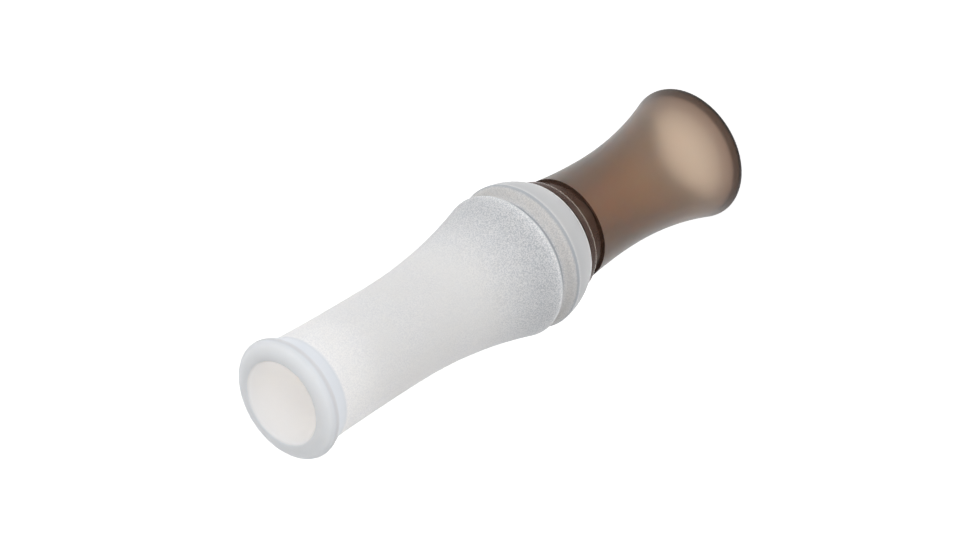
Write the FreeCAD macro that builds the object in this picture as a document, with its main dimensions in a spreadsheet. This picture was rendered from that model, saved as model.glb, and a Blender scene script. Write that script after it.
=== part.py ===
import FreeCAD, Part
import math
import os

import Sketcher

# A double-reed duck call, standing on the rim of its bell. The call's axis is Z, its mouth is up, and the
# origin is the centre of the bell's rim. All sizes are in millimetres. "Across" is measured out from the
# axis and "up" along it; the reed table faces +Y.

Vector = FreeCAD.Vector

# Each driving size: its name, its value and what it is.
DRIVING_SIZES = [
    # Insert: the bell, the polished groove, the collar and the tenon.
    ("flare_rim_radius", 16.4, "bell's outside at the rim, before the rim is rounded"),
    ("flare_rim_round", 1.4, "rounding of the rim's outer edge"),
    ("bell_neck_radius", 11.45, "bell's slimmest outside"),
    ("bell_neck_height", 30.0, "height of that neck above the rim"),
    ("bell_shoulder_radius", 12.4, "bell's outside at its top edge"),
    ("bell_height", 46.2, "height of the bell's top edge"),
    ("cove_radius", 11.6, "floor of the polished groove"),
    ("cove_width", 3.9, "polished groove, along the axis"),
    ("cove_round", 0.7, "rounding in the polished groove's corners"),
    ("collar_radius", 13.7, "collar that the barrel seats on"),
    ("collar_thickness", 3.1, "collar, along the axis"),
    ("collar_round", 0.8, "rounding of the collar's edges"),
    ("tenon_length", 22.8, "tenon above the collar"),
    ("tenon_clearance", 0.075, "tenon to barrel bore, each side"),
    ("tenon_chamfer", 0.6, "lead-in on the tenon's end"),
    ("bell_mouth_radius", 13.2, "inside of the bell at the rim"),
    ("bell_mouth_round", 0.5, "rounding of the rim's inner edge"),
    ("throat_radius", 5.2, "exhaust bore"),
    ("throat_height", 40.0, "where the bell's inside meets the exhaust bore"),
    ("socket_depth", 26.0, "socket for the tone board's plug, from the tenon's end"),
    ("socket_chamfer", 0.4, "lead-in of that socket"),
    # Sealing rings on the tenon.
    ("ring_section_radius", 0.8, "rubber ring's section, as squeezed"),
    ("ring_clearance", 0.04, "ring to its groove floor and to the barrel bore"),
    ("ring_side_play", 0.3, "ring to each side of its groove"),
    ("ring_setback", 5.5, "ring's centre from the collar, or from the tenon's end"),
    # Barrel.
    ("seat_gap", 0.02, "running gap where one piece seats on another"),
    ("barrel_length", 86.8, "barrel, from its seat to the mouth"),
    ("bore_radius", 9.525, "barrel bore, three quarters of an inch across"),
    ("bore_chamfer", 0.4, "lead-in at the bore's lower end"),
    ("flange_end_radius", 14.55, "flange's outside at its lower end"),
    ("flange_radius", 17.3, "flange's widest outside"),
    ("flange_height", 8.2, "flange, along the axis"),
    ("flange_crown", 18.0, "radius of the flange's curved side"),
    ("lanyard_groove_width", 4.8, "lanyard groove, along the axis"),
    ("lanyard_groove_round", 2.45, "radius of that groove's hollow"),
    ("bulge_radius", 17.15, "barrel's outside at the bulge's edge"),
    ("barrel_edge_round", 0.3, "rounding of the barrel's crisp edges"),
    ("barrel_neck_radius", 11.9, "barrel's slimmest outside"),
    ("barrel_neck_rise", 50.8, "that neck above the barrel's lower end"),
    ("lip_base_radius", 12.4, "neck's outside where the lip begins"),
    ("lip_base_drop", 7.0, "where the lip begins, below the mouth"),
    ("lip_base_round", 4.0, "rounding between neck and lip"),
    ("lip_radius", 14.3, "lip's outside, before its edge is rounded"),
    ("lip_drop", 2.3, "lip's edge below the mouth"),
    ("lip_round", 0.8, "rounding of the lip's edge"),
    ("mouth_round", 0.5, "rounding of the mouth's inner edge"),
    # Tone board.
    ("plug_radius", 6.35, "plug, half an inch across"),
    ("plug_clearance", 0.03, "plug to its socket, each side"),
    ("plug_length", 25.5, "plug below the tone board's shoulder"),
    ("plug_chamfer", 0.4, "lead-in on the plug"),
    ("board_radius", 7.9, "tone board's round back"),
    ("board_length", 46.0, "tone board, from its shoulder to its tip"),
    ("sound_bore_radius", 3.0, "sound channel"),
    ("tip_land", 4.0, "solid lip between the channel and the tip"),
    ("reed_table_rise", 1.0, "reed table from the axis"),
    ("heel_length", 3.0, "solid heel behind the wedge slot"),
    ("slot_length", 11.0, "wedge slot, along the axis"),
    ("slot_back_opening", 3.6, "slot at its back, above the reed table"),
    ("slot_front_opening", 4.4, "slot at its front, above the reed table"),
    ("table_flat_length", 2.0, "flat of the reed table beyond the slot"),
    ("tip_drop", 1.3, "fall of the reed table at its tip"),
    # Reeds and wedge.
    ("reed_thickness", 0.25, "each reed strip"),
    ("reed_width", 13.0, "each reed strip"),
    ("reed_gap", 0.02, "reed to reed, to the table and to the wedge"),
    ("reed_back_gap", 0.3, "reeds and wedge from the slot's back wall"),
    ("reed_bend_gap", 0.06, "clamped tail to free blade"),
    ("lower_blade_length", 30.5, "lower reed beyond the wedge"),
    ("upper_blade_length", 29.5, "upper reed beyond the wedge"),
    ("reed_corner_round", 2.5, "rounding of a reed's tip corners"),
    ("wedge_width", 10.5, "wedge, across the reeds"),
    ("wedge_roof_gap", 0.04, "wedge to the slot's roof"),
]

# Sketcher's numbers for a sketch's own axes.
H_AXIS = -1
V_AXIS = -2

doc = FreeCAD.newDocument("duck_call")


class Size:
    """A length: its value now, and the expression that keeps it tied to the sheet."""

    def __init__(self, value, text=None):
        self.value = float(value)
        self.text = text if text is not None else repr(float(value))

    def __add__(self, other):
        other = as_size(other)
        return Size(self.value + other.value, f"({self.text} + {other.text})")

    def __sub__(self, other):
        other = as_size(other)
        return Size(self.value - other.value, f"({self.text} - {other.text})")

    def __mul__(self, factor):
        return Size(self.value * factor, f"({self.text} * {factor})")

    def __neg__(self):
        return Size(-self.value, f"(0 - {self.text})")


def as_size(value):
    return value if isinstance(value, Size) else Size(value)


def write_sheet():
    """Write the driving sizes to the document's sheet and return them by name."""
    sheet = doc.addObject("Spreadsheet::Sheet", "sizes")
    named = {}
    for row, (name, value, meaning) in enumerate(DRIVING_SIZES, start=1):
        sheet.set(f"A{row}", name)
        sheet.set(f"B{row}", str(value))
        sheet.set(f"C{row}", meaning)
        sheet.setAlias(f"B{row}", name)
        named[name] = Size(value, f"sizes.{name}")
    doc.recompute()
    return named


S = write_sheet()

# Heights and radii that follow from the driving sizes.
collar_base = S["bell_height"] + S["cove_width"]
seat = collar_base + S["collar_thickness"]
tenon_top = seat + S["tenon_length"]
tenon_radius = S["bore_radius"] - S["tenon_clearance"]
socket_radius = S["plug_radius"] + S["plug_clearance"]
socket_base = tenon_top - S["socket_depth"]
ring_groove_floor = S["bore_radius"] - S["ring_clearance"] * 2 - S["ring_section_radius"] * 2
ring_centre_radius = ring_groove_floor + S["ring_clearance"] + S["ring_section_radius"]
ring_half_groove = S["ring_section_radius"] + S["ring_side_play"]
ring_heights = {
    "rear_o_ring": seat + S["ring_setback"],
    "front_o_ring": tenon_top - S["ring_setback"],
}
barrel_end = seat + S["seat_gap"]
mouth = barrel_end + S["barrel_length"]
flange_top = barrel_end + S["flange_height"]
bulge_edge = flange_top + S["lanyard_groove_width"]
board_base = tenon_top + S["seat_gap"]
board_tip = board_base + S["board_length"]
slot_back = board_base + S["heel_length"]
slot_front = slot_back + S["slot_length"]
reed_back = slot_back + S["reed_back_gap"]
blade_back = slot_front + S["reed_bend_gap"]
lower_reed_base = S["reed_table_rise"] + S["reed_gap"]
upper_reed_base = lower_reed_base + S["reed_thickness"] + S["reed_gap"]
wedge_base = upper_reed_base + S["reed_thickness"] + S["reed_gap"]


def origin_plane(body, role):
    """Find one of a body's own origin planes."""
    for feature in body.Origin.OriginFeatures:
        if feature.Role == role:
            return feature
    raise RuntimeError(f"{body.Label} has no {role}")


def new_body(label):
    body = doc.addObject("PartDesign::Body", label)
    body.Label = label
    return body


def new_sketch(body, name, role, lift=None):
    """Start a sketch on one of the body's origin planes, lifted off it along the plane's normal if asked."""
    sketch = body.newObject("Sketcher::SketchObject", name)
    sketch.AttachmentSupport = [(origin_plane(body, role), "")]
    sketch.MapMode = "FlatFace"
    if lift is not None:
        sketch.AttachmentOffset = FreeCAD.Placement(Vector(0, 0, lift.value), FreeCAD.Rotation())
        sketch.setExpression("AttachmentOffset.Base.z", lift.text)
    return sketch


class Level:
    """A curve whose centre lies at a given height, so it runs upright there."""

    def __init__(self, height):
        self.height = height

    def centre(self, start, end):
        level = self.height.value
        gap = (start.x**2 - end.x**2) + (start.y - level)**2 - (end.y - level)**2
        return Vector(gap / (2 * (start.x - end.x)), level, 0)

    def hold(self, sketch, arc):
        bind(sketch, Sketcher.Constraint("DistanceY", -1, 1, arc, 3, self.height.value), self.height)


class Plumb:
    """A curve whose centre lies at a given distance across, so it runs level there."""

    def __init__(self, across):
        self.across = across

    def centre(self, start, end):
        across = self.across.value
        gap = (start.y**2 - end.y**2) + (start.x - across)**2 - (end.x - across)**2
        return Vector(across, gap / (2 * (start.y - end.y)), 0)

    def hold(self, sketch, arc):
        bind(sketch, Sketcher.Constraint("DistanceX", -1, 1, arc, 3, self.across.value), self.across)


class Bend:
    """A curve of a given radius, with its centre to the left (or right) of the way it is drawn."""

    def __init__(self, radius, left=True):
        self.radius = radius
        self.left = left

    def centre(self, start, end):
        chord = end - start
        middle = (start + end) * 0.5
        reach = math.sqrt(self.radius.value**2 - (chord.Length / 2)**2)
        side = Vector(-chord.y, chord.x, 0).normalize()
        return middle + side * (reach if self.left else -reach)

    def hold(self, sketch, arc):
        bind(sketch, Sketcher.Constraint("Radius", arc, self.radius.value), self.radius)


def bind(sketch, constraint, size):
    """Add a constraint and tie its value to the sheet."""
    number = sketch.addConstraint(constraint)
    sketch.setExpression(f"Constraints[{number}]", size.text)


def draw_edge(sketch, start, end, curve):
    """Draw one edge and return its number with the positions of its start and its end."""
    if curve is None:
        return sketch.addGeometry(Part.LineSegment(start, end), False), 1, 2
    centre = curve.centre(start, end)
    circle = Part.Circle(centre, Vector(0, 0, 1), (start - centre).Length)
    from_angle = math.atan2(start.y - centre.y, start.x - centre.x)
    to_angle = math.atan2(end.y - centre.y, end.x - centre.x)
    turns_left = (start - centre).cross(end - centre).z > 0
    if turns_left:
        arc = sketch.addGeometry(Part.ArcOfCircle(circle, from_angle, to_angle), False)
        ends = (arc, 1, 2)
    else:
        arc = sketch.addGeometry(Part.ArcOfCircle(circle, to_angle, from_angle), False)
        ends = (arc, 2, 1)
    return ends


def hold_point(sketch, edge, end, kind, size, axis):
    """Hold a corner at a distance from the sketch's origin, or on the axis where that distance is none."""
    if size.value == 0:
        sketch.addConstraint(Sketcher.Constraint("PointOnObject", edge, end, axis))
    else:
        bind(sketch, Sketcher.Constraint(kind, -1, 1, edge, end, size.value), size)


def draw_outline(sketch, stops):
    """Draw a closed outline. Each stop is a corner, across and up, and the curve that leads to it, if any."""
    places = [Vector(as_size(stop[0]).value, as_size(stop[1]).value, 0) for stop in stops]
    curves = [stop[2] if len(stop) > 2 else None for stop in stops]
    edges = [draw_edge(sketch, places[i - 1], places[i], curves[i]) for i in range(len(stops))]
    for i, (edge, _, end) in enumerate(edges):
        following, start, _ = edges[(i + 1) % len(edges)]
        sketch.addConstraint(Sketcher.Constraint("Coincident", edge, end, following, start))
    for stop, curve, (edge, _, end) in zip(stops, curves, edges):
        hold_point(sketch, edge, end, "DistanceX", as_size(stop[0]), V_AXIS)
        hold_point(sketch, edge, end, "DistanceY", as_size(stop[1]), H_AXIS)
        if curve is not None:
            curve.hold(sketch, edge)


def turn(body, name, stops, cut=False):
    """Turn an outline about the call's axis, to add material or to cut it away."""
    sketch = new_sketch(body, f"{name}_outline", "XZ_Plane")
    draw_outline(sketch, stops)
    feature = body.newObject("PartDesign::Groove" if cut else "PartDesign::Revolution", name)
    feature.Profile = sketch
    feature.ReferenceAxis = (sketch, ["V_Axis"])
    feature.Angle = 360
    return feature


def ring_edges(shape, rings):
    """Name the circular edges that lie at the given radii and heights."""
    names = []
    for radius, height in rings:
        found = [
            f"Edge{number}"
            for number, edge in enumerate(shape.Edges, start=1)
            if isinstance(edge.Curve, Part.Circle)
            and abs(edge.Curve.Center.x) < 1e-4
            and abs(edge.Curve.Radius - radius.value) < 1e-3
            and abs(edge.Curve.Center.z - height.value) < 1e-3
        ]
        if not found:
            raise RuntimeError(f"no edge of radius {radius.value} at height {height.value}")
        names += found
    return names


def dress(body, name, kind, size, rings):
    """Round or chamfer circular edges, each given by its radius and height."""
    doc.recompute()
    base = body.Tip
    names = ring_edges(base.Shape, rings)
    feature = body.newObject(f"PartDesign::{kind}", name)
    feature.Base = (base, names)
    feature.setExpression("Radius" if kind == "Fillet" else "Size", size.text)
    return feature


def cut_through(body, name, stops):
    """Cut an outline, seen from the side, right through a body."""
    doc.recompute()
    whole = body.Shape.Volume
    sketch = new_sketch(body, f"{name}_outline", "YZ_Plane")
    draw_outline(sketch, stops)
    feature = body.newObject("PartDesign::Pocket", name)
    feature.Profile = sketch
    feature.Type = "ThroughAll"
    feature.SideType = "Symmetric"
    doc.recompute()
    if body.Shape.Volume > whole - 1:
        raise RuntimeError(f"{name} cuts nothing")
    return feature


def make_insert():
    """The bell, polished groove, collar and tenon, turned from one rod and bored through."""
    body = new_body("insert")
    turn(body, "turned_rod", [
        (S["bell_mouth_radius"], 0, Level(S["throat_height"])),
        (S["flare_rim_radius"], 0),
        (S["bell_neck_radius"], S["bell_neck_height"], Level(S["bell_neck_height"])),
        (S["bell_shoulder_radius"], S["bell_height"], Level(S["bell_neck_height"])),
        (S["bell_shoulder_radius"], collar_base),
        (S["collar_radius"], collar_base),
        (S["collar_radius"], seat),
        (tenon_radius, seat),
        (tenon_radius, tenon_top),
        (socket_radius, tenon_top),
        (socket_radius, socket_base),
        (S["throat_radius"], socket_base),
        (S["throat_radius"], S["throat_height"]),
    ])
    cove_mouth = S["collar_radius"] + 1
    turn(body, "cove", [
        (S["cove_radius"], S["bell_height"]),
        (cove_mouth, S["bell_height"]),
        (cove_mouth, collar_base),
        (S["cove_radius"], collar_base),
    ], cut=True)
    for name, height in ring_heights.items():
        ring_mouth = tenon_radius + 1
        turn(body, f"{name}_groove", [
            (ring_groove_floor, height - ring_half_groove),
            (ring_mouth, height - ring_half_groove),
            (ring_mouth, height + ring_half_groove),
            (ring_groove_floor, height + ring_half_groove),
        ], cut=True)
    dress(body, "cove_corners", "Fillet", S["cove_round"],
          [(S["cove_radius"], S["bell_height"]), (S["cove_radius"], collar_base)])
    dress(body, "collar_edges", "Fillet", S["collar_round"],
          [(S["collar_radius"], collar_base), (S["collar_radius"], seat)])
    dress(body, "rim_outer_edge", "Fillet", S["flare_rim_round"], [(S["flare_rim_radius"], Size(0))])
    dress(body, "rim_inner_edge", "Fillet", S["bell_mouth_round"], [(S["bell_mouth_radius"], Size(0))])
    dress(body, "tenon_lead", "Chamfer", S["tenon_chamfer"], [(tenon_radius, tenon_top)])
    dress(body, "socket_lead", "Chamfer", S["socket_chamfer"], [(socket_radius, tenon_top)])
    return body


def make_barrel():
    """The mouth half: lip, slim neck, bulge, lanyard groove and tapered flange, in one piece."""
    body = new_body("barrel")
    neck = barrel_end + S["barrel_neck_rise"]
    lip_base = mouth - S["lip_base_drop"]
    lip_edge = mouth - S["lip_drop"]
    turn(body, "turned_rod", [
        (S["bore_radius"], barrel_end),
        (S["flange_end_radius"], barrel_end),
        (S["flange_radius"], flange_top, Bend(S["flange_crown"])),
        (S["bulge_radius"], bulge_edge, Bend(S["lanyard_groove_round"], left=False)),
        (S["barrel_neck_radius"], neck, Level(neck)),
        (S["lip_base_radius"], lip_base, Level(neck)),
        (S["lip_radius"], lip_edge),
        (S["bore_radius"], mouth, Plumb(S["bore_radius"])),
    ])
    dress(body, "lip_base", "Fillet", S["lip_base_round"], [(S["lip_base_radius"], lip_base)])
    dress(body, "lip_edge", "Fillet", S["lip_round"], [(S["lip_radius"], lip_edge)])
    dress(body, "mouth_edge", "Fillet", S["mouth_round"], [(S["bore_radius"], mouth)])
    dress(body, "crisp_edges", "Fillet", S["barrel_edge_round"], [
        (S["bulge_radius"], bulge_edge),
        (S["flange_radius"], flange_top),
        (S["flange_end_radius"], barrel_end),
    ])
    dress(body, "bore_lead", "Chamfer", S["bore_chamfer"], [(S["bore_radius"], barrel_end)])
    return body


def make_ring(name, height):
    """A rubber sealing ring, squeezed between its groove and the barrel's bore."""
    ring = doc.addObject("Part::Torus", name)
    ring.Label = name
    ring.setExpression("Radius1", ring_centre_radius.text)
    ring.setExpression("Radius2", S["ring_section_radius"].text)
    ring.setExpression("Placement.Base.z", height.text)
    return ring


def make_tone_board():
    """The plug and the half-round reed table, with its sound channel and the slot for the wedge."""
    body = new_body("tone_board")
    plug_end = board_base - S["plug_length"]
    channel_end = board_tip - S["tip_land"]
    turn(body, "turned_rod", [
        (S["sound_bore_radius"], plug_end),
        (S["plug_radius"], plug_end),
        (S["plug_radius"], board_base),
        (S["board_radius"], board_base),
        (S["board_radius"], board_tip),
        (0, board_tip),
        (0, channel_end),
        (S["sound_bore_radius"], channel_end),
    ])
    table = S["reed_table_rise"]
    clear = S["board_radius"] + 1
    cut_through(body, "reed_table", [
        (table, slot_back),
        (table, slot_front + S["table_flat_length"]),
        (table - S["tip_drop"], board_tip + 1, Level(slot_front + S["table_flat_length"])),
        (clear, board_tip + 1),
        (clear, slot_front),
        (table + S["slot_front_opening"], slot_front),
        (table + S["slot_back_opening"], slot_back),
    ])
    dress(body, "plug_lead", "Chamfer", S["plug_chamfer"], [(S["plug_radius"], plug_end)])
    return body


def make_strip(name, base, back, length, round_tip):
    """A flat strip of reed, its back end square and, on a free blade, its tip corners rounded."""
    body = new_body(name)
    sketch = new_sketch(body, f"{name}_outline", "XZ_Plane", -(base + S["reed_thickness"]))
    half = S["reed_width"] * 0.5
    tip = back + length
    corner = S["reed_corner_round"]
    if round_tip:
        stops = [
            (-half, back),
            (half, back),
            (half, tip - corner),
            (half - corner, tip, Bend(corner)),
            (-half + corner, tip),
            (-half, tip - corner, Bend(corner)),
        ]
    else:
        stops = [(-half, back), (half, back), (half, tip), (-half, tip)]
    draw_outline(sketch, stops)
    feature = body.newObject("PartDesign::Pad", "strip")
    feature.Profile = sketch
    feature.setExpression("Length", S["reed_thickness"].text)
    return body


def make_wedge():
    """The cork block that clamps the reeds, thinner at its back so that it tightens as it goes in."""
    body = new_body("wedge")
    sketch = new_sketch(body, "wedge_outline", "YZ_Plane")
    table = S["reed_table_rise"]
    back_roof = table + S["slot_back_opening"] - S["wedge_roof_gap"]
    front_roof = table + S["slot_front_opening"] - S["wedge_roof_gap"]
    draw_outline(sketch, [
        (wedge_base, reed_back),
        (wedge_base, slot_front),
        (front_roof, slot_front),
        (back_roof, reed_back),
    ])
    feature = body.newObject("PartDesign::Pad", "cork_block")
    feature.Profile = sketch
    feature.SideType = "Symmetric"
    feature.setExpression("Length", S["wedge_width"].text)
    return body


tail_length = slot_front - reed_back
sub_parts = [make_insert(), make_barrel()]
sub_parts += [make_ring(name, height) for name, height in ring_heights.items()]
sub_parts += [
    make_tone_board(),
    make_strip("lower_reed_tail", lower_reed_base, reed_back, tail_length, round_tip=False),
    make_strip("lower_reed_blade", lower_reed_base, blade_back, S["lower_blade_length"], round_tip=True),
    make_strip("upper_reed_tail", upper_reed_base, reed_back, tail_length, round_tip=False),
    make_strip("upper_reed_blade", upper_reed_base, blade_back, S["upper_blade_length"], round_tip=True),
    make_wedge(),
]
doc.recompute()

for thing in doc.Objects:
    if "Invalid" in thing.State or "Error" in thing.State:
        raise RuntimeError(f"{thing.Label} failed: {thing.State}")
for sub_part in sub_parts:
    if sub_part.Shape.isNull() or not sub_part.Shape.isValid():
        raise RuntimeError(f"{sub_part.Label} has no valid shape")

os.makedirs("parts", exist_ok=True)
for sub_part in sub_parts:
    sub_part.Shape.exportStep(os.path.join("parts", f"{sub_part.Label}.step"))
    box = sub_part.Shape.BoundBox
    print(f"{sub_part.Label}: {sub_part.Shape.Volume:.1f} mm3, up {box.ZMin:.3f} to {box.ZMax:.3f}")
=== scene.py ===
"""A double-reed duck call: an opal frosted barrel on a smoke-brown flared insert, with its reed assembly
inside."""
import math

import bmesh
import bpy
from bpy.props import FloatProperty, FloatVectorProperty, PointerProperty
from mathutils import Matrix, Vector, noise


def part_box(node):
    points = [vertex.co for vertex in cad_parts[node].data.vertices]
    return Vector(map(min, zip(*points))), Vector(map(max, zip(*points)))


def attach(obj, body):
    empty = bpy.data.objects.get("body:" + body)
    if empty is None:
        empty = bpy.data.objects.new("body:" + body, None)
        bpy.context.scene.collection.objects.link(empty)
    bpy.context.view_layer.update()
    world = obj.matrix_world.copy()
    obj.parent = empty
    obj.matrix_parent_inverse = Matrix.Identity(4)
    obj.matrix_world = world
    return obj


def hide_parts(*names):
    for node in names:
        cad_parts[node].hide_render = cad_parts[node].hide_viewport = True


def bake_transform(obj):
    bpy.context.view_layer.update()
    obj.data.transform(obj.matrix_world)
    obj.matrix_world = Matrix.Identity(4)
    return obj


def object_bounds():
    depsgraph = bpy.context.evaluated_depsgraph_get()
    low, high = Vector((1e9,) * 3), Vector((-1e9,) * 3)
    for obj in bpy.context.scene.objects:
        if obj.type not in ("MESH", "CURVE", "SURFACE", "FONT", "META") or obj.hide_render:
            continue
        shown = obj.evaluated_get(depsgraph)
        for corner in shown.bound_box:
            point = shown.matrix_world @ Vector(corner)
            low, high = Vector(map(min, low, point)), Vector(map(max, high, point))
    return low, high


bl_info = {
    "name": "Duck Call",
    "version": (1, 0, 0),
    "blender": (4, 5, 0),
    "location": "View3D > Sidebar > Duck Call",
    "description": "Builds a two-part duck call with its tone board, reeds, wedge and sealing rings",
    "category": "Object",
}

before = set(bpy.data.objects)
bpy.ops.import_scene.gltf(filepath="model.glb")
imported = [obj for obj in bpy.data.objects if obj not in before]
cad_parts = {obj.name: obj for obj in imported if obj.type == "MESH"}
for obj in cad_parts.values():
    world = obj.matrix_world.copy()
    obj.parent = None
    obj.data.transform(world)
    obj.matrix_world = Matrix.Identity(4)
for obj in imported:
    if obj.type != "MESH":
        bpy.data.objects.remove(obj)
CAD_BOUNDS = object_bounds()

MM = 0.001

# How finely the meshes are cut.
SPIN_STEPS = 160                # faces round a turned piece
ARC_STEP = 0.9 * MM             # points along an arc of an outline
FEWEST_ARC_STEPS = 6            # however short the arc
STRAIGHT_STEP = 3 * MM          # points along a straight run of an outline
EDGE_SEGMENTS = 4               # fewest faces across a rounded edge
FINE_STEP = 0.25 * MM           # width of one of those faces
EDGE_ROOM = 1.3                 # room kept beside a corner, in widths of its rounding
RING_SIDES = 24                 # faces round a sealing ring's section
REED_STEP = 0.5 * MM            # runs of a reed, which bends
REED_LAST = 0.3 * MM            # shortest run left at its tip
TIP_SEGMENTS = 10               # faces round a reed's tip corners
DIMPLE_STEP = 0.2 * MM          # cuts through a reed's dimple
DIMPLE_CUTS = 10                # cuts on each side of its middle
CORK_STEP = 0.4 * MM            # cuts through the wedge, whose face is pitted
CORK_FIRST = 0.5 * MM           # first of them, from its edge
PIT_SCALE = 1400.0              # pits of the cork, per metre
HAIR = 0.01 * MM                # closer than this, two places are the same
WELD = 0.001 * MM               # closer than this, two vertices are one

# Places that the frame gives: heights along the call's axis, and the wedge's corners.
WEDGE_LOW, WEDGE_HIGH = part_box("wedge")
TENON_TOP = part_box("insert")[1].z
BARREL_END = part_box("barrel")[0].z
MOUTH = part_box("barrel")[1].z
TOTAL_HEIGHT = CAD_BOUNDS[1].z


def size(default, name, description):
    """A length that a user can change, kept in metres and given here in millimetres."""
    return FloatProperty(name=name, description=description, default=default * MM, unit="LENGTH", precision=5)


def colour(default, name, description):
    """A colour that a user can change, given as the display shows it."""
    return FloatVectorProperty(name=name, description=description, default=default, subtype="COLOR_GAMMA",
                               size=3, min=0.0, max=1.0)


class BarrelSizes(bpy.types.PropertyGroup):
    """Sizes of the mouth half."""
    bore: size(9.525, "Bore radius", "Inside of the barrel, three quarters of an inch across")
    flange_end: size(14.55, "Flange end radius", "Outside at the barrel's lower end")
    flange: size(17.3, "Flange radius", "Widest outside of the flange")
    flange_height: size(8.2, "Flange height", "Flange along the axis")
    flange_crown: size(18.0, "Flange crown", "Radius of the flange's curved side")
    groove_width: size(4.8, "Groove width", "Lanyard groove along the axis")
    groove_round: size(2.45, "Groove radius", "Radius of the lanyard groove's hollow")
    bulge: size(17.15, "Bulge radius", "Outside at the bulge's edge")
    neck: size(11.9, "Neck radius", "Slimmest outside")
    neck_rise: size(50.8, "Neck rise", "Neck above the barrel's lower end")
    lip_base: size(12.4, "Lip base radius", "Neck's outside where the lip begins")
    lip_base_drop: size(7.0, "Lip base drop", "Where the lip begins, below the mouth")
    lip: size(14.3, "Lip radius", "Lip's outside before its edge is rounded")
    lip_drop: size(2.3, "Lip drop", "Lip's edge below the mouth")
    end_edge: size(0.35, "End edge", "Rounding of the bore's edge at the lower end")
    flange_edge: size(0.3, "Flange edge", "Rounding of the flange's edges")
    bulge_edge: size(0.9, "Bulge edge", "Rounding between the bulge and the lanyard groove")
    lip_hollow: size(0.8, "Lip hollow", "Rounding between the neck and the lip")
    lip_edge: size(0.7, "Lip edge", "Rounding of the lip's widest edge")
    mouth_edge: size(0.8, "Mouth edge", "Rounding of the bore's edge at the mouth")


class InsertSizes(bpy.types.PropertyGroup):
    """Sizes of the bell half."""
    rim: size(16.4, "Rim radius", "Bell's outside at the rim, before it is rounded")
    rim_edge: size(1.96, "Rim edge", "Room that the rim's rounding takes")
    neck: size(11.45, "Neck radius", "Bell's slimmest outside")
    neck_height: size(30.0, "Neck height", "Neck above the rim")
    shoulder: size(12.4, "Shoulder radius", "Bell's outside at its top edge")
    bell_height: size(46.2, "Bell height", "Height of the bell's top edge")
    cove: size(11.6, "Cove radius", "Floor of the polished groove")
    cove_width: size(3.9, "Cove width", "Polished groove along the axis")
    collar: size(13.7, "Collar radius", "Outside of the collar")
    collar_thickness: size(3.1, "Collar thickness", "Collar along the axis")
    tenon: size(9.45, "Tenon radius", "Outside of the tenon")
    socket: size(6.38, "Socket radius", "Inside of the tenon")
    socket_depth: size(26.0, "Socket depth", "Socket from the tenon's end")
    throat: size(5.2, "Throat radius", "Exhaust bore")
    throat_height: size(40.0, "Throat height", "Where the bell's inside meets the exhaust bore")
    mouth: size(13.2, "Bell mouth radius", "Inside of the bell at the rim")
    mouth_edge: size(0.45, "Bell mouth edge", "Rounding of the bell's inner edge")
    shoulder_edge: size(0.2, "Shoulder edge", "Rounding of the shoulder")
    cove_edge: size(0.65, "Cove edge", "Rounding in the polished groove's corners")
    collar_edge: size(0.75, "Collar edge", "Rounding of the collar's edges")
    tenon_edge: size(0.5, "Tenon edge", "Rounding of the tenon's end")
    socket_edge: size(0.35, "Socket edge", "Rounding of the socket's end")
    ring_play: size(0.3, "Ring play", "Sealing ring to the sides of its groove")
    ring_gap: size(0.04, "Ring gap", "Sealing ring to the floor of its groove")


class ReedSizes(bpy.types.PropertyGroup):
    """Sizes of the reeds and the wedge."""
    tip: size(2.5, "Tip rounding", "Rounding of a reed's tip corners")
    reed_edge: size(0.04, "Reed edge", "Rounding of a reed's edges")
    dimple: size(1.1, "Dimple radius", "Dimple that keeps the two reeds apart")
    dimple_rise: size(0.22, "Dimple rise", "Height of the dimple")
    dimple_setback: size(8.0, "Dimple setback", "Dimple from the upper reed's tip")
    bend: size(5.0, "Bend length", "Length beyond the wedge over which a reed bends")
    wedge_taper: size(0.8, "Wedge taper", "How much thinner the wedge is at its back")
    wedge_edge: size(0.3, "Wedge edge", "Rounding of the wedge's edges")
    pit_depth: size(0.12, "Pit depth", "Depth of the cork's pits")


class StageSettings(bpy.types.PropertyGroup):
    """Where the camera stands."""
    lens: FloatProperty(name="Lens", description="Focal length in millimetres", default=190.7)
    distance: FloatProperty(name="Distance", description="Camera to the point that it aims at",
                            default=1.1472, unit="LENGTH")
    aim: size(71.45, "Aim", "Height on the call's axis that the camera aims at")
    rise: FloatProperty(name="Rise", description="Camera's angle above the floor", default=math.radians(40.5),
                        subtype="ANGLE")
    roll: FloatProperty(name="Roll", description="Camera's turn about its own axis",
                        default=math.radians(121.73), subtype="ANGLE")


class Finishes(bpy.types.PropertyGroup):
    """Colours of the call's plastics, rubber and cork."""
    opal: colour((0.950, 0.950, 0.955), "Opal", "Barrel's milky plastic")
    smoke: colour((0.96, 0.905, 0.86), "Smoke", "Insert's tinted plastic")
    ring: colour((0.10, 0.10, 0.10), "Ring rubber", "Sealing rings")
    cork: colour((0.72, 0.55, 0.37), "Cork", "Wedge")


# Shader nodes.

class Socket:
    """A node's output, with arithmetic that adds Math nodes."""

    def __init__(self, tree, output):
        self.tree = tree
        self.output = output

    def math(self, operation, *values):
        return self.tree.add("ShaderNodeMath", {"operation": operation}, dict(enumerate(values)))

    def __add__(self, other):
        return self.math("ADD", self, other)

    __radd__ = __add__

    def __sub__(self, other):
        return self.math("SUBTRACT", self, other)

    def __rsub__(self, other):
        return self.math("SUBTRACT", other, self)

    def __mul__(self, other):
        return self.math("MULTIPLY", self, other)

    __rmul__ = __mul__


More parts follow.
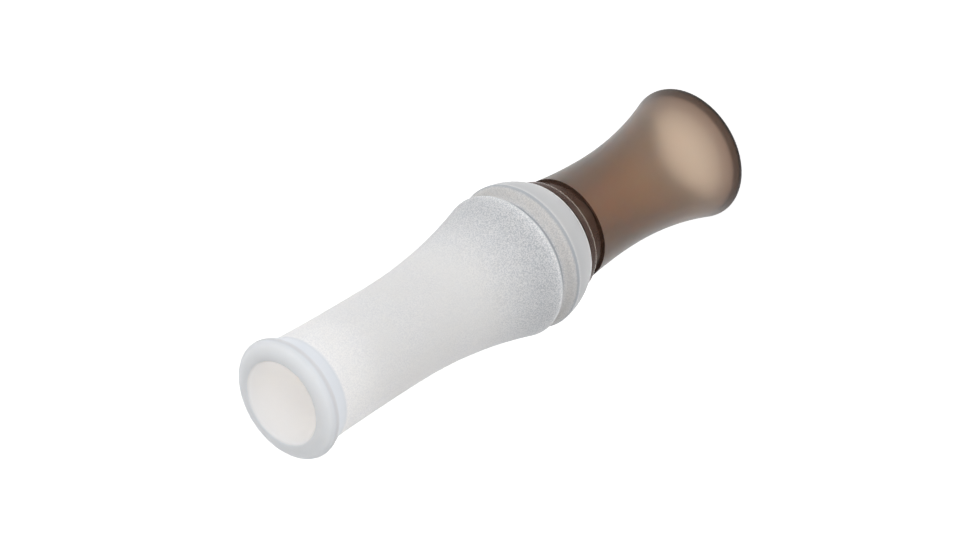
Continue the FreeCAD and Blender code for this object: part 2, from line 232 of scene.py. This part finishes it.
class Tree:
    """A material's nodes."""

    def __init__(self, name):
        self.material = bpy.data.materials.new(name)
        self.material.use_nodes = True
        self.nodes = self.material.node_tree.nodes
        self.links = self.material.node_tree.links
        self.shader = self.nodes["Principled BSDF"]
        self.place = self.add("ShaderNodeTexCoord", {}, {}, "Object")

    def add(self, kind, settings, inputs, output=0):
        """Make a node: its settings first, then its inputs, by name or number, as values or sockets."""
        node = self.nodes.new(kind)
        for name, value in settings.items():
            setattr(node, name, value)
        for key, value in inputs.items():
            self.feed(node.inputs[key], value)
        return Socket(self, node.outputs[output])

    def feed(self, target, value):
        """Link a socket to a node's input, or set the input to a value."""
        if isinstance(value, Socket):
            self.links.new(value.output, target)
        else:
            target.default_value = value

    def noise(self, scale, detail, roughness=0.5, place=None):
        inputs = {"Vector": place or self.place, "Scale": scale, "Detail": detail, "Roughness": roughness}
        return self.add("ShaderNodeTexNoise", {}, inputs, "Fac")

    def stretched(self, shares):
        """The place with each of its coordinates multiplied."""
        inputs = {0: self.place, 1: shares}
        return self.add("ShaderNodeVectorMath", {"operation": "MULTIPLY"}, inputs, "Vector")

    def streaks(self, scale, shares):
        """Noise drawn out along the axes whose shares are small."""
        return self.noise(scale, 2.0, place=self.stretched(shares))

    def smooth_step(self, value, low, high):
        """0 below low, 1 above high, and a smooth way between them."""
        settings = {"interpolation_type": "SMOOTHSTEP"}
        return self.add("ShaderNodeMapRange", settings, {"Value": value, "From Min": low, "From Max": high})

    def mix(self, factor, first, second):
        """Mix two colours. A Mix node's colour inputs are its sockets 6 and 7, and its colour output is 2."""
        return self.add("ShaderNodeMix", {"data_type": "RGBA"}, {0: factor, 6: first, 7: second}, 2)

    def height(self):
        """Height along the call's axis above the bell's rim, in metres."""
        return self.add("ShaderNodeSeparateXYZ", {}, {0: self.place}, "Z")

    def above(self, low, high):
        """A smooth step up the call's axis."""
        return self.smooth_step(self.height(), low, high)

    def radius(self):
        """Distance from the call's axis, in metres."""
        flat = self.stretched((1.0, 1.0, 0.0))
        return self.add("ShaderNodeVectorMath", {"operation": "LENGTH"}, {0: flat}, "Value")

    def beyond(self, low, high):
        """A smooth step out from the call's axis."""
        return self.smooth_step(self.radius(), low, high)

    def bump(self, height, strength, distance):
        inputs = {"Height": height, "Strength": strength, "Distance": distance}
        self.feed(self.shader.inputs["Normal"], self.add("ShaderNodeBump", {}, inputs, "Normal"))

    def absorb(self, tint, density):
        """Darken light along its way through the plastic."""
        volume = self.nodes.new("ShaderNodeVolumeAbsorption")
        volume.inputs["Color"].default_value = tint
        volume.inputs["Density"].default_value = density
        self.links.new(volume.outputs[0], self.nodes["Material Output"].inputs["Volume"])

    def set(self, **values):
        """Set the shader's sockets, each named with _ for a space."""
        for name, value in values.items():
            self.feed(self.shader.inputs[name.replace("_", " ")], value)


def linear(gamma_colour):
    """A display colour as the shader's linear one."""
    def one(value):
        return value / 12.92 if value <= 0.04045 else ((value + 0.055) / 1.055) ** 2.4
    return (*[one(value) for value in gamma_colour], 1.0)


def tinted(base, red, green, blue):
    """A colour shifted a little, channel by channel."""
    return (base[0] * red, base[1] * green, base[2] * blue, 1.0)


# Meshes.

def swept(start, end, centre):
    """Points along the shorter arc from start to end about centre, without start."""
    radius = (start - centre).length
    first = math.atan2(start.y - centre.y, start.x - centre.x)
    turn = math.atan2(end.y - centre.y, end.x - centre.x) - first
    turn = (turn + math.pi) % math.tau - math.pi
    steps = max(FEWEST_ARC_STEPS, round(abs(turn) * radius / ARC_STEP))
    points = []
    for step in range(1, steps + 1):
        angle = first + turn * step / steps
        points.append(centre + Vector((math.cos(angle), math.sin(angle))) * radius)
    return points


def upright_at(level, start, end):
    """Centre, at a given height, of the arc from start to end."""
    gap = start.x**2 - end.x**2 + (start.y - level)**2 - (end.y - level)**2
    return Vector((gap / (2 * (start.x - end.x)), level))


def level_at(across, start, end):
    """Centre, at a given distance across, of the arc from start to end."""
    gap = start.y**2 - end.y**2 + (start.x - across)**2 - (end.x - across)**2
    return Vector((across, gap / (2 * (start.y - end.y))))


def bent(radius, start, end, left=True):
    """Centre of an arc of a given radius, to the left or right of the way from start to end."""
    chord = end - start
    reach = math.sqrt(radius**2 - (chord.length / 2)**2)
    side = Vector((-chord.y, chord.x)).normalized()
    return (start + end) / 2 + side * (reach if left else -reach)


def corner(across, up, room=0.0, about=None):
    """A corner of an outline: its place, the room that its rounding takes along both sides of it, and a
    function that gives the centre of the arc which leads to it."""
    return Vector((across, up)), room, about


def straight(start, end):
    """Points along a straight run, without start."""
    steps = max(1, round((end - start).length / STRAIGHT_STEP))
    return [start.lerp(end, step / steps) for step in range(1, steps + 1)]


def spun(points):
    """Spin a closed outline about the call's axis into a closed mesh."""
    mesh = bmesh.new()
    ring = [mesh.verts.new((point.x, 0.0, point.y)) for point in points]
    edges = [mesh.edges.new((ring[i - 1], ring[i])) for i in range(len(ring))]
    bmesh.ops.spin(mesh, geom=ring + edges, cent=(0, 0, 0), axis=(0, 0, 1), dvec=(0, 0, 0),
                   angle=math.tau, steps=SPIN_STEPS, use_merge=True)
    bmesh.ops.remove_doubles(mesh, verts=mesh.verts, dist=WELD)
    bmesh.ops.recalc_face_normals(mesh, faces=mesh.faces)
    return mesh


def bevel(mesh, edges, offset, segments):
    """Round some of a mesh's edges."""
    bmesh.ops.bevel(mesh, geom=edges, offset=offset, offset_type="OFFSET", segments=segments, profile=0.5,
                    affect="EDGES", material=-1)


def round_ring(mesh, place, room):
    """Round the circular edge that goes through a place of the outline."""
    edges = [edge for edge in mesh.edges
             if all((Vector((vert.co.xy.length, vert.co.z)) - place).length < HAIR for vert in edge.verts)]
    if not edges:
        raise RuntimeError(f"no edge to round at {place}")
    bevel(mesh, edges, room, max(EDGE_SEGMENTS, round(room / FINE_STEP)))


def turned(*corners):
    """Turn an outline of corners into a closed mesh, and round the edges that have room for it."""
    points = []
    for index, (end, end_room, about) in enumerate(corners):
        start, start_room, _ = corners[index - 1]
        run = swept(start, end, about(start, end)) if about else straight(start, end)
        points += [point for point in run[:-1] if (point - start).length > EDGE_ROOM * start_room
                   and (point - end).length > EDGE_ROOM * end_room]
        points.append(end)
    mesh = spun(points)
    for place, room, _ in corners:
        if room:
            round_ring(mesh, place, room)
    return mesh


def block(low, high):
    """A box between two corners."""
    mesh = bmesh.new()
    bmesh.ops.create_cube(mesh, size=1.0)
    bmesh.ops.scale(mesh, vec=high - low, verts=mesh.verts)
    bmesh.ops.translate(mesh, vec=(low + high) / 2, verts=mesh.verts)
    return mesh


def cut_across(mesh, axis, place):
    """Cut a mesh square to an axis (0, 1 or 2), keeping both sides."""
    everything = mesh.verts[:] + mesh.edges[:] + mesh.faces[:]
    normal = [float(i == axis) for i in range(3)]
    bmesh.ops.bisect_plane(mesh, geom=everything, dist=WELD, plane_co=[place * n for n in normal],
                           plane_no=normal)


def slice_along(mesh, axis, first, last, step):
    """Cut a mesh square to an axis from first to last, a step apart."""
    cut = first
    while cut < last:
        cut_across(mesh, axis, cut)
        cut += step


def finish_piece(mesh, name, materials, stands_for, body=None):
    """Turn a mesh into a smooth object in place of nodes of the frame, riding on a body if it is given."""
    for face in mesh.faces:
        face.smooth = True
    data = bpy.data.meshes.new(name)
    mesh.to_mesh(data)
    mesh.free()
    for material in materials:
        data.materials.append(material)
    piece = bpy.data.objects.new(name, data)
    bpy.context.scene.collection.objects.link(piece)
    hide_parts(*stands_for)
    if body:
        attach(piece, body)
    return piece


# Finishes. Noise scales are per metre. A tint is a share of the base colour's red, green and blue.

SMOKE_TINT = (0.615, 0.475, 0.365, 1.0)     # parts of each channel that the smoke plastic lets through
SMOKE_DENSITY = 345.0                       # how fast the rest is absorbed, per metre


def opal_plastic(colours, s):
    """Milky translucent plastic with a speckled frosted face: darker over the tenon and on the flange, with
    painted shade behind the lip and along its outer edge, a painted dark line of shade at each edge of the
    lanyard groove, a painted highlight along the barrel's lower end, and a faint painted glow in the bore and
    on the lip's face."""
    tree = Tree("opal_plastic")
    base = linear(colours.opal)
    inside = 1 - tree.beyond(s.bore + 0.1 * MM, s.bore + 0.5 * MM)
    grain = tree.noise(3600.0, 2.0, 0.6)
    speck = tree.smooth_step(grain, 0.40, 0.60)
    wave = tree.noise(160.0, 2.0)

    cloud = tree.smooth_step(tree.noise(55.0, 3.0), 0.35, 0.7)
    clouded = tinted(base, 1.01, 0.995, 0.95)
    body = tree.mix(speck, tinted(base, 0.90, 0.905, 0.92), tinted(base, 1.06, 1.055, 1.04))
    body = tree.mix(cloud * 0.6, body, clouded)

    flange_top = BARREL_END + s.flange_height
    over_tenon = tree.mix(speck, tinted(base, 0.52, 0.55, 0.58), tinted(base, 0.86, 0.865, 0.87))
    flange = tinted(base, 0.55, 0.56, 0.57)
    past_flange = tree.above(flange_top - 1.7 * MM, flange_top + 0.3 * MM)
    over_tenon = tree.mix(past_flange, flange, over_tenon)
    groove = tinted(base, 1.0, 0.97, 0.92)
    in_groove = past_flange - tree.above(flange_top + 1.8 * MM, flange_top + 3.0 * MM)
    over_tenon = tree.mix(in_groove * 0.45, over_tenon, groove)
    # Painted shade: a dark line along each edge of the lanyard groove.
    groove_edge_shade = tinted(base, 0.40, 0.43, 0.47)
    for line in (flange_top + 3.1 * MM, flange_top - 0.3 * MM):
        shade = tree.above(line - 0.55 * MM, line - 0.2 * MM) - tree.above(line + 0.2 * MM, line + 0.55 * MM)
        over_tenon = tree.mix(shade * 0.9, over_tenon, groove_edge_shade)
    body = tree.mix(tree.above(TENON_TOP - 10 * MM, TENON_TOP + 16 * MM), over_tenon, body)

    # Painted highlight: a light line along the barrel's lower end edge.
    end_highlight = tinted(base, 1.0, 0.97, 0.94)
    body = tree.mix(tree.above(BARREL_END + 0.55 * MM, BARREL_END + 0.75 * MM), end_highlight, body)

    lip_base, lip_edge = MOUTH - s.lip_base_drop, MOUTH - s.lip_drop
    # Painted shade behind the lip.
    lip_back_shade = tree.above(lip_base - 0.8 * MM, lip_base + 0.4 * MM) * (1 - inside)
    body = tree.mix(lip_back_shade, body, tinted(base, 0.71, 0.75, 0.80))
    lip_face = tree.above(lip_edge - 0.1 * MM, lip_edge + 1.3 * MM)
    body = tree.mix(lip_face, body, tinted(base, 0.955, 0.985, 1.02))
    # Painted shade: a dark line along the lip's outer edge.
    lip_rim_shade = tree.beyond(s.lip - 0.45 * MM, s.lip - 0.15 * MM) * lip_back_shade
    body = tree.mix(lip_rim_shade, body, tinted(base, 0.62, 0.63, 0.65))

    # Painted glow: a faint light of the plastic's own in the bore and on the lip's face, standing in for
    # light that passes through it.
    no_glow = (0.0, 0.0, 0.0, 1.0)
    lip_glow = (0.066, 0.074, 0.080, 1.0)
    bore_glow = (0.190, 0.178, 0.166, 1.0)
    glow = tree.mix(inside, tree.mix(lip_face, no_glow, lip_glow), bore_glow)

    tree.set(Base_Color=body, Emission_Color=glow, Emission_Strength=1.0, Roughness=grain * 0.22 + 0.34,
             Subsurface_Weight=1.0, Subsurface_Radius=(1.0, 0.95, 0.9), Subsurface_Scale=10 * MM,
             IOR=1.49, Specular_IOR_Level=0.25, Transmission_Weight=0.2)
    tree.bump(grain * 0.7 + wave * 0.6, strength=0.35, distance=0.12 * MM)
    return tree.material


def smoke_frosted(colours, s):
    """The bell's smoke-brown plastic: frosted satin, with painted shade over the flare that is darkest at the
    rim, and warmer up the neck.
    """
    tree = Tree("smoke_frosted")
    base = linear(colours.smoke)
    cloud = tree.noise(40.0, 3.0)
    grain = tree.noise(1900.0, 2.0, 0.6)
    body = tree.mix(cloud, tinted(base, 0.94, 1.00, 1.00), tinted(base, 0.99, 1.04, 1.03))
    neck = tinted(base, 1.09, 1.02, 0.94)
    body = tree.mix(tree.above(s.neck_height - 11 * MM, s.neck_height + 1 * MM), body, neck)
    # Painted shade: darker over the flare towards the rim.
    flare_shade = tinted(base, 0.33, 0.26, 0.24)
    body = tree.mix(tree.above(-2 * MM, 12.5 * MM), flare_shade, body)
    # Painted shade: near black at the rim itself.
    rim = tinted(base, 0.05, 0.040, 0.036)
    body = tree.mix(tree.above(0.8 * MM, 1.8 * MM), rim, body)
    tree.set(Base_Color=body, Roughness=grain * 0.10 + 0.30,
             Subsurface_Weight=1.0, Subsurface_Radius=(1.0, 0.72, 0.55), Subsurface_Scale=3 * MM,
             IOR=1.42, Specular_IOR_Level=0.08, Specular_Tint=(0.1, 0.1, 0.1, 1.0), Transmission_Weight=0.93)
    tree.bump(grain, strength=0.12, distance=0.06 * MM)
    tree.absorb(SMOKE_TINT, SMOKE_DENSITY)
    return tree.material


def smoke_polished(colours, s):
    """The same plastic polished, in the groove below the collar and on the collar, with a painted highlight
    on the collar's lower rounding and painted shadow under the barrel's flange.
    """
    tree = Tree("smoke_polished")
    base = linear(colours.smoke)
    scratch = tree.streaks(900.0, (0.15, 0.15, 4.0))
    cove = tinted(base, 0.32, 0.185, 0.135)
    # Painted highlight along the collar's lower rounding.
    collar_edge = tinted(base, 1.08, 1.02, 0.96)
    collar_side = tinted(base, 0.36, 0.25, 0.23)
    # Painted shadow on the collar under the barrel's flange.
    flange_shadow = tinted(base, 0.02, 0.02, 0.02)
    side = s.bell_height + s.cove_width + s.collar_edge
    collar = tree.mix(tree.above(side - 0.1 * MM, side + 0.1 * MM), collar_edge, collar_side)
    collar = tree.mix(tree.above(BARREL_END - 1.05 * MM, BARREL_END - 0.85 * MM), collar, flange_shadow)
    body = tree.mix(tree.beyond(s.collar - 0.9 * MM, s.collar - 0.6 * MM), cove, collar)
    tree.set(Base_Color=body, Roughness=scratch * 0.08 + 0.12,
             IOR=1.33, Specular_IOR_Level=0.2, Specular_Tint=(0.3, 0.3, 0.3, 1.0), Transmission_Weight=0.8)
    tree.bump(scratch, strength=0.15, distance=0.02 * MM)
    tree.absorb(SMOKE_TINT, SMOKE_DENSITY)
    return tree.material


def rubber(colours):
    """Black ring rubber with a faint bloom."""
    tree = Tree("ring_rubber")
    base = linear(colours.ring)
    bloom = tree.smooth_step(tree.noise(900.0, 4.0), 0.4, 0.75)
    tree.set(Base_Color=tree.mix(bloom, base, tinted(base, 2.2, 2.2, 2.3)), Roughness=bloom * 0.2 + 0.5)
    tree.bump(tree.noise(5000.0, 2.0), strength=0.2, distance=0.03 * MM)
    return tree.material


def board_plastic(colours):
    """The tone board's smoke plastic, with fine file marks along its reed table."""
    tree = Tree("board_plastic")
    base = linear(colours.smoke)
    marks = tree.streaks(1200.0, (3.0, 1.0, 0.06))
    tree.set(Base_Color=tree.mix(marks, tinted(base, 0.085, 0.062, 0.052), tinted(base, 0.145, 0.105, 0.090)),
             Roughness=marks * 0.2 + 0.18, IOR=1.49)
    tree.bump(marks, strength=0.3, distance=0.04 * MM)
    return tree.material


def reed_film():
    """Clear plastic film, a little milky, with polishing marks along its length."""
    tree = Tree("reed_film")
    marks = tree.streaks(1500.0, (2.0, 1.0, 0.08))
    tree.set(Base_Color=tree.mix(marks, (0.80, 0.83, 0.85, 1.0), (0.90, 0.92, 0.93, 1.0)),
             Roughness=marks * 0.15 + 0.16, IOR=1.6, Alpha=0.55)
    tree.bump(marks, strength=0.15, distance=0.02 * MM)
    return tree.material


def cork(colours):
    """Pressed cork: lighter and darker grains with dark pores."""
    tree = Tree("cork_grain")
    base = linear(colours.cork)
    grains = tree.add("ShaderNodeTexVoronoi", {}, {"Vector": tree.place, "Scale": 900.0}, "Color")
    tone = tree.add("ShaderNodeSeparateXYZ", {}, {0: grains}, "X")
    pores = tree.smooth_step(tree.noise(1700.0, 4.0, 0.7), 0.56, 0.68)
    body = tree.mix(tone, tinted(base, 0.72, 0.66, 0.58), tinted(base, 1.12, 1.12, 1.1))
    tree.set(Base_Color=tree.mix(pores, body, tinted(base, 0.30, 0.22, 0.16)), Roughness=0.85)
    tree.bump(1 - pores, strength=0.6, distance=0.12 * MM)
    return tree.material


# Operators.

class DUCKCALL_OT_stage(bpy.types.Operator):
    """Set up the pale floor, the soft sky, the four lamps and the camera"""
    bl_idname = "duckcall.stage"
    bl_label = "Stage"

    def execute(self, context):
        self.add_floor()
        self.add_light()
        self.add_camera(context.scene)
        return {"FINISHED"}

    def add_floor(self):
        mesh = bmesh.new()
        bmesh.ops.create_circle(mesh, cap_ends=True, segments=96, radius=6.0)
        data = bpy.data.meshes.new("floor")
        mesh.to_mesh(data)
        mesh.free()
        tree = Tree("pale_floor")
        mottle = tree.noise(6.0, 2.0)
        tree.set(Base_Color=tree.mix(mottle, (0.49, 0.49, 0.49, 1.0), (0.51, 0.51, 0.51, 1.0)), Roughness=0.9,
                 Specular_IOR_Level=0.0, Emission_Color=(1.0, 1.0, 1.0, 1.0), Emission_Strength=0.95)
        data.materials.append(tree.material)
        floor = bpy.data.objects.new("floor", data)
        floor.location.z = -0.05 * MM           # clear of the rim that stands on it
        bpy.context.scene.collection.objects.link(floor)

    def add_light(self):
        """A sky that is brighter on one side, two softboxes, and two small lamps that the camera doesn't see:
        one low in front of the bell and one just inside its mouth, which make its plastic glow."""
        world = bpy.data.worlds.new("studio")
        world.use_nodes = True
        sky = world.node_tree.nodes["Background"]
        nodes, links = world.node_tree.nodes, world.node_tree.links
        way = nodes.new("ShaderNodeTexCoord")
        parts = nodes.new("ShaderNodeSeparateXYZ")
        ramp = nodes.new("ShaderNodeMapRange")
        links.new(way.outputs["Generated"], parts.inputs[0])
        links.new(parts.outputs["X"], ramp.inputs["Value"])
        for name, value in {"From Min": -1.0, "From Max": 1.0, "To Min": 0.10, "To Max": 0.55}.items():
            ramp.inputs[name].default_value = value
        links.new(ramp.outputs[0], sky.inputs["Strength"])
        sky.inputs["Color"].default_value = (1.0, 1.0, 1.0, 1.0)
        bpy.context.scene.world = world
        self.add_softbox("key", place=(0.2, -0.95, 0.45), width=0.7, power=3.2)
        self.add_softbox("top", place=(0.0, 0.1, 1.1), width=0.8, power=2.0)
        streak = self.add_softbox("streak", place=(0.006, -0.055, 0.008), width=0.026, power=0.003)
        streak.data.color = (1.0, 0.85, 0.62)
        streak.visible_camera = False
        glow = self.add_softbox("glow", place=(0.0, 0.0, 0.0025), width=0.020, power=0.00018)
        glow.data.color = (0.86, 0.95, 0.86)
        glow.visible_camera = False

    def add_softbox(self, name, place, width, power):
        lamp = bpy.data.lights.new(name, "AREA")
        lamp.shape = "DISK"
        lamp.size = width
        lamp.energy = power
        softbox = bpy.data.objects.new(name, lamp)
        softbox.location = place
        aim = Vector((0.0, 0.0, TOTAL_HEIGHT / 2)) - softbox.location
        softbox.rotation_euler = aim.to_track_quat("-Z", "Y").to_euler()
        bpy.context.scene.collection.objects.link(softbox)
        return softbox

    def add_camera(self, scene):
        """Look down from the mouth's side and rolled, so that the mouth comes out at the lower left."""
        s = scene.duckcall_stage
        lens = bpy.data.cameras.new("camera")
        lens.lens = s.lens
        lens.sensor_width = 36.0
        lens.clip_start = 0.01
        camera = bpy.data.objects.new("camera", lens)
        back = Vector((0.0, -math.cos(s.rise), math.sin(s.rise)))
        turn = back.to_track_quat("Z", "Y").to_matrix() @ Matrix.Rotation(-s.roll, 3, "Z")
        place = Vector((0.0, 0.0, s.aim)) + back * s.distance
        camera.matrix_world = Matrix.Translation(place) @ turn.to_4x4()
        scene.collection.objects.link(camera)
        scene.camera = camera
        scene.view_settings.view_transform = "Standard"


class DUCKCALL_OT_barrel(bpy.types.Operator):
    """Build the opal mouth half: lip, slim neck, bulge, lanyard groove and flange"""
    bl_idname = "duckcall.barrel"
    bl_label = "Barrel"

    def execute(self, context):
        s = context.scene.duckcall_barrel
        flange_top = BARREL_END + s.flange_height
        bulge_edge = flange_top + s.groove_width
        neck = BARREL_END + s.neck_rise
        lip_base = MOUTH - s.lip_base_drop
        lip_edge = MOUTH - s.lip_drop
        mesh = turned(
            corner(s.bore, BARREL_END, s.end_edge),
            corner(s.flange_end, BARREL_END, s.flange_edge),
            corner(s.flange, flange_top, s.flange_edge, lambda a, b: bent(s.flange_crown, a, b)),
            corner(s.bulge, bulge_edge, s.bulge_edge, lambda a, b: bent(s.groove_round, a, b, left=False)),
            corner(s.neck, neck, about=lambda a, b: upright_at(neck, a, b)),
            corner(s.lip_base, lip_base, s.lip_hollow, lambda a, b: upright_at(neck, a, b)),
            corner(s.lip, lip_edge, s.lip_edge),
            corner(s.bore, MOUTH, s.mouth_edge, lambda a, b: level_at(s.bore, a, b)),
        )
        material = opal_plastic(context.scene.duckcall_finishes, s)
        finish_piece(mesh, "barrel_shell", [material], ["barrel"], "barrel")
        return {"FINISHED"}


class DUCKCALL_OT_insert(bpy.types.Operator):
    """Build the smoke-brown half: bell, polished groove, collar and tenon"""
    bl_idname = "duckcall.insert"
    bl_label = "Insert"

    def execute(self, context):
        s = context.scene.duckcall_insert
        collar_base = s.bell_height + s.cove_width
        seat = collar_base + s.collar_thickness
        socket_base = TENON_TOP - s.socket_depth
        ring_grooves = []
        for ring in ("rear_o_ring", "front_o_ring"):
            low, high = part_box(ring)
            floor = high.x - (high.z - low.z) - s.ring_gap
            bottom, top = low.z - s.ring_play, high.z + s.ring_play
            ring_grooves += [corner(s.tenon, bottom), corner(floor, bottom),
                             corner(floor, top), corner(s.tenon, top)]
        mesh = turned(
            corner(s.mouth, 0.0, s.mouth_edge, lambda a, b: upright_at(s.throat_height, a, b)),
            corner(s.rim, 0.0, s.rim_edge),
            corner(s.neck, s.neck_height, about=lambda a, b: upright_at(s.neck_height, a, b)),
            corner(s.shoulder, s.bell_height, s.shoulder_edge, lambda a, b: upright_at(s.neck_height, a, b)),
            corner(s.cove, s.bell_height, s.cove_edge),
            corner(s.cove, collar_base, s.cove_edge),
            corner(s.collar, collar_base, s.collar_edge),
            corner(s.collar, seat, s.collar_edge),
            corner(s.tenon, seat),
            *ring_grooves,
            corner(s.tenon, TENON_TOP, s.tenon_edge),
            corner(s.socket, TENON_TOP, s.socket_edge),
            corner(s.socket, socket_base),
            corner(s.throat, socket_base),
            corner(s.throat, s.throat_height),
        )
        polished_from, polished_to = s.bell_height - s.shoulder_edge, seat + 0.1 * MM
        outside = s.cove - 0.5 * MM
        for face in mesh.faces:
            place = face.calc_center_median()
            polished = place.xy.length > outside and polished_from < place.z < polished_to
            face.material_index = int(polished)
        colours = context.scene.duckcall_finishes
        materials = [smoke_frosted(colours, s), smoke_polished(colours, s)]
        finish_piece(mesh, "insert_shell", materials, ["insert"], "insert")
        return {"FINISHED"}


class DUCKCALL_OT_rings(bpy.types.Operator):
    """Build the two sealing rings on the tenon"""
    bl_idname = "duckcall.rings"
    bl_label = "Sealing Rings"

    def execute(self, context):
        material = rubber(context.scene.duckcall_finishes)
        for ring in ("rear_o_ring", "front_o_ring"):
            low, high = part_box(ring)
            section = (high.z - low.z) / 2
            centre = Vector((high.x - section, (low.z + high.z) / 2))
            points = [centre + Vector((math.cos(angle), math.sin(angle))) * section
                      for angle in (math.tau * step / RING_SIDES for step in range(RING_SIDES))]
            finish_piece(spun(points), f"{ring}_rubber", [material], [ring], "rings")
        return {"FINISHED"}


class DUCKCALL_OT_tone_board(bpy.types.Operator):
    """Finish the tone board"""
    bl_idname = "duckcall.tone_board"
    bl_label = "Tone Board"

    def execute(self, context):
        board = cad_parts["tone_board"]
        board.data.materials.clear()
        board.data.materials.append(board_plastic(context.scene.duckcall_finishes))
        return {"FINISHED"}


class DUCKCALL_OT_reeds(bpy.types.Operator):
    """Build the two reeds, each one strip with a rounded tip, cut across into short runs"""
    bl_idname = "duckcall.reeds"
    bl_label = "Reeds"

    def execute(self, context):
        s = context.scene.duckcall_reeds
        material = reed_film()
        for reed, dimpled in (("lower_reed", False), ("upper_reed", True)):
            low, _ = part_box(f"{reed}_tail")
            blade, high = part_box(f"{reed}_blade")
            mesh = self.strip(low, high, s)
            if dimpled:
                self.press_dimple(mesh, high, s)
            piece = finish_piece(mesh, f"{reed}_strip", [material], [f"{reed}_tail", f"{reed}_blade"])
            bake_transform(piece)
        return {"FINISHED"}

    def strip(self, low, high, s):
        """A flat strip with a rounded tip, cut across into short runs so that it can bend."""
        mesh = block(low, high)
        tip_edges = [edge for edge in mesh.edges
                     if all(abs(vert.co.z - high.z) < HAIR for vert in edge.verts)
                     and abs(edge.verts[0].co.y - edge.verts[1].co.y) > HAIR]
        bevel(mesh, tip_edges, s.tip, TIP_SEGMENTS)
        bevel(mesh, mesh.edges[:], s.reed_edge, segments=2)
        slice_along(mesh, 2, low.z + REED_STEP, high.z - REED_LAST, REED_STEP)
        return mesh

    def press_dimple(self, mesh, high, s):
        """Raise a small round dimple near the tip."""
        middle = high.z - s.dimple_setback
        for step in range(-DIMPLE_CUTS, DIMPLE_CUTS + 1):
            cut_across(mesh, 0, step * DIMPLE_STEP)
            cut_across(mesh, 2, middle + step * DIMPLE_STEP)
        for vert in mesh.verts:
            reach = math.hypot(vert.co.x, vert.co.z - middle) / s.dimple
            vert.co.y += s.dimple_rise * math.exp(-reach**4)


class DUCKCALL_OT_wedge(bpy.types.Operator):
    """Build the cork wedge"""
    bl_idname = "duckcall.wedge"
    bl_label = "Wedge"

    def execute(self, context):
        s = context.scene.duckcall_reeds
        middle = (WEDGE_LOW + WEDGE_HIGH) / 2
        mesh = block(WEDGE_LOW, WEDGE_HIGH)
        for vert in mesh.verts:
            if vert.co.y > middle.y and vert.co.z < middle.z:
                vert.co.y -= s.wedge_taper
        bevel(mesh, mesh.edges[:], s.wedge_edge, segments=3)
        for axis in range(3):
            slice_along(mesh, axis, WEDGE_LOW[axis] + CORK_FIRST, WEDGE_HIGH[axis] - CORK_STEP, CORK_STEP)
        mesh.normal_update()
        for vert in mesh.verts:
            pit = max(0.0, noise.noise(vert.co * PIT_SCALE))
            vert.co -= vert.normal * pit * s.pit_depth
        material = cork(context.scene.duckcall_finishes)
        finish_piece(mesh, "cork_wedge", [material], ["wedge"], "wedge")
        return {"FINISHED"}


class DUCKCALL_PT_panel(bpy.types.Panel):
    """Buttons and sizes of the duck call"""
    bl_idname = "DUCKCALL_PT_panel"
    bl_label = "Duck Call"
    bl_space_type = "VIEW_3D"
    bl_region_type = "UI"
    bl_category = "Duck Call"

    def draw(self, context):
        for operator in OPERATORS:
            self.layout.operator(operator.bl_idname)
        for name in SETTINGS:
            group = getattr(context.scene, name)
            box = self.layout.box()
            for prop in group.bl_rna.properties:
                if prop.identifier not in ("rna_type", "name"):
                    box.prop(group, prop.identifier)


OPERATORS = (
    DUCKCALL_OT_stage,
    DUCKCALL_OT_barrel,
    DUCKCALL_OT_insert,
    DUCKCALL_OT_rings,
    DUCKCALL_OT_tone_board,
    DUCKCALL_OT_reeds,
    DUCKCALL_OT_wedge,
)
SETTINGS = {
    "duckcall_barrel": BarrelSizes,
    "duckcall_insert": InsertSizes,
    "duckcall_reeds": ReedSizes,
    "duckcall_stage": StageSettings,
    "duckcall_finishes": Finishes,
}


def register():
    for cls in (*SETTINGS.values(), *OPERATORS, DUCKCALL_PT_panel):
        bpy.utils.register_class(cls)
    for name, group in SETTINGS.items():
        setattr(bpy.types.Scene, name, PointerProperty(type=group))


def unregister():
    for name in SETTINGS:
        delattr(bpy.types.Scene, name)
    for cls in reversed((*SETTINGS.values(), *OPERATORS, DUCKCALL_PT_panel)):
        bpy.utils.unregister_class(cls)


def main():
    register()
    for operator in OPERATORS:
        group, name = operator.bl_idname.split(".")
        getattr(getattr(bpy.ops, group), name)()


if __name__ == "__main__":
    main()
